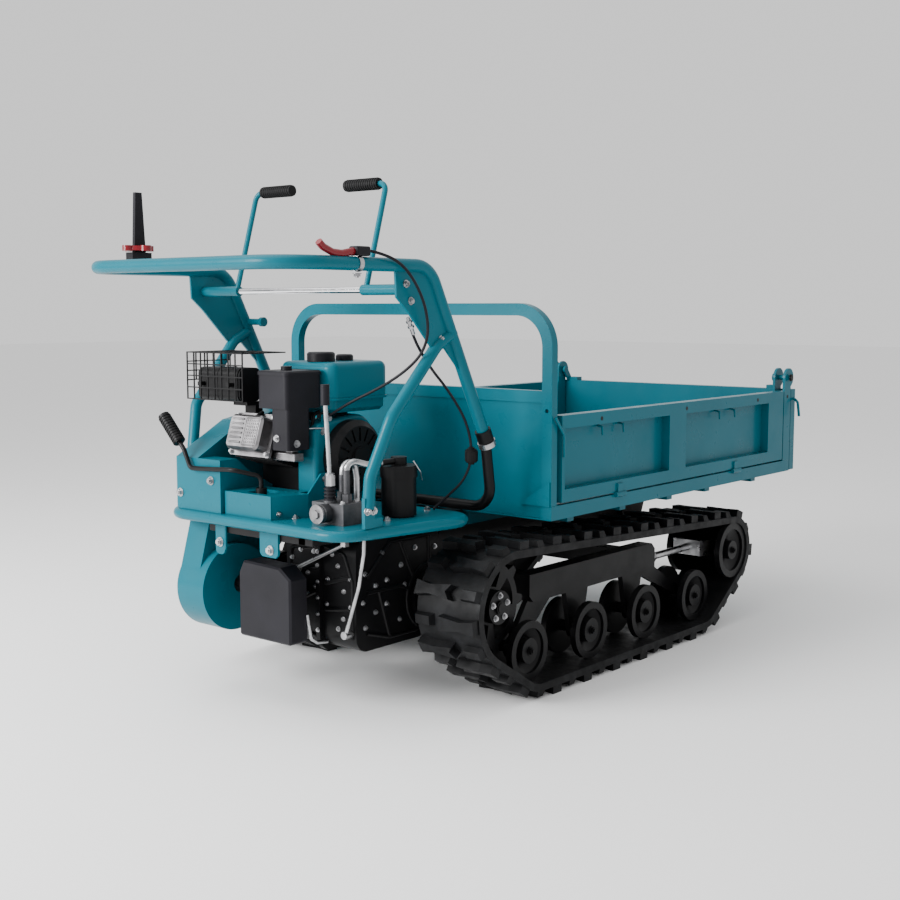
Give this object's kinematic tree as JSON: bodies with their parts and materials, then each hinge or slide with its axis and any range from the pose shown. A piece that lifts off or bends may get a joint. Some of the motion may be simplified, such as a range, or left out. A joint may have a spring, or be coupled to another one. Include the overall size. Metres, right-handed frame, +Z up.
{
  "type": "tracked power carrier",
  "caption": "Walk-behind tracked mini dumper: rubber tracks, engine and controls at the rear, and a long drop-side box that tips forward.",
  "frame": {"origin": "on the ground, in the middle of the machine's length and width", "axes": "+X forward, the way the box tips; +Y to the machine's left; +Z up"},
  "size_m": [2.262, 0.99, 1.3342],
  "materials": {
    "teal_paint": "gloss powder coat",
    "black_paint": "satin black paint",
    "engine_black": "satin heat-proof black",
    "track_rubber": "moulded rubber",
    "black_rubber": "ribbed soft rubber",
    "black_plastic": "moulded black plastic",
    "red_plastic": "gloss red plastic",
    "bare_steel": "zinc-plated steel",
    "chrome": "chrome-plated bar",
    "cast_grey": "raw casting",
    "cast_aluminium": "cast aluminium"
  },
  "bodies": {
    "chassis": {"chassis_frame": "black_paint", "cross_tubes": "black_paint", "track_frames": "black_paint", "track_left": "track_rubber", "track_right": "track_rubber", "sprockets": "black_paint", "idlers": "black_paint", "bottom_rollers": "black_paint", "tensioners": "bare_steel", "gearbox": "black_paint", "oil_tank": "black_plastic", "link_rods": "bare_steel", "belt_cover": "teal_paint", "deck": "teal_paint", "deck_support": "teal_paint", "hydraulic_filter": "black_paint", "valve_block": "cast_grey", "valve_lever": "black_plastic", "gear_lever": "black_paint", "brake_lever": "black_plastic", "lever_lock": "red_plastic", "throttle_lever": "red_plastic", "throttle_cable": "black_plastic", "clutch_cable": "black_plastic", "control_frame": "teal_paint", "lower_leg_tube": "black_paint", "lever_shaft": "chrome", "steering_lever_left": "teal_paint", "steering_lever_right": "teal_paint", "lever_grips": "black_rubber", "engine_block": "engine_black", "rocker_cover": "cast_aluminium", "fuel_tank": "teal_paint", "fuel_cap": "black_plastic", "air_cleaner": "black_plastic", "muffler": "engine_black", "muffler_guard": "engine_black", "recoil_starter": "engine_black", "fan_shroud": "teal_paint", "gear_console": "teal_paint", "belt_housing": "teal_paint"},
    "bed": {"bed_floor": "teal_paint", "headboard": "teal_paint", "corner_posts": "teal_paint"},
    "left_gate": {"side_gate_left": "teal_paint"},
    "right_gate": {"side_gate_right": "teal_paint"},
    "front_gate_body": {"front_gate": "teal_paint"},
    "cylinder_barrel": {"tip_barrel": "black_paint"},
    "cylinder_rod": {"tip_rod": "chrome"}
  },
  "joints": [
    {"name": "bed_tip", "type": "hinge", "parent": "chassis", "child": "bed", "pos_m": [0.7, 0, 0.434], "axis": [0, 1, 0], "range_deg": [0, 45]},
    {"name": "left_gate_drop", "type": "hinge", "parent": "bed", "child": "left_gate", "pos_m": [0.4, 0.488, 0.503], "axis": [-1, 0, 0], "range_deg": [0, 90]},
    {"name": "right_gate_drop", "type": "hinge", "parent": "bed", "child": "right_gate", "pos_m": [0.4, -0.488, 0.503], "axis": [1, 0, 0], "range_deg": [0, 90]},
    {"name": "front_gate_swing", "type": "hinge", "parent": "bed", "child": "front_gate_body", "pos_m": [1.08, 0, 0.782], "axis": [0, -1, 0], "range_deg": [0, 90]},
    {"name": "cylinder_swing", "type": "hinge", "parent": "chassis", "child": "cylinder_barrel", "pos_m": [0.6, 0, 0.2], "axis": [0, 1, 0], "range_deg": [0, 23]},
    {"name": "cylinder_stroke", "type": "slide", "parent": "cylinder_barrel", "child": "cylinder_rod", "axis": [-0.5463, 0, 0.8376], "range_m": [0, 0.142]}
  ],
  "couplings": [
    {"joint": "cylinder_swing", "follows": "bed_tip", "ratio": 0.49},
    {"joint": "cylinder_stroke", "follows": "bed_tip", "m_per_rad": 0.177}
  ]
}
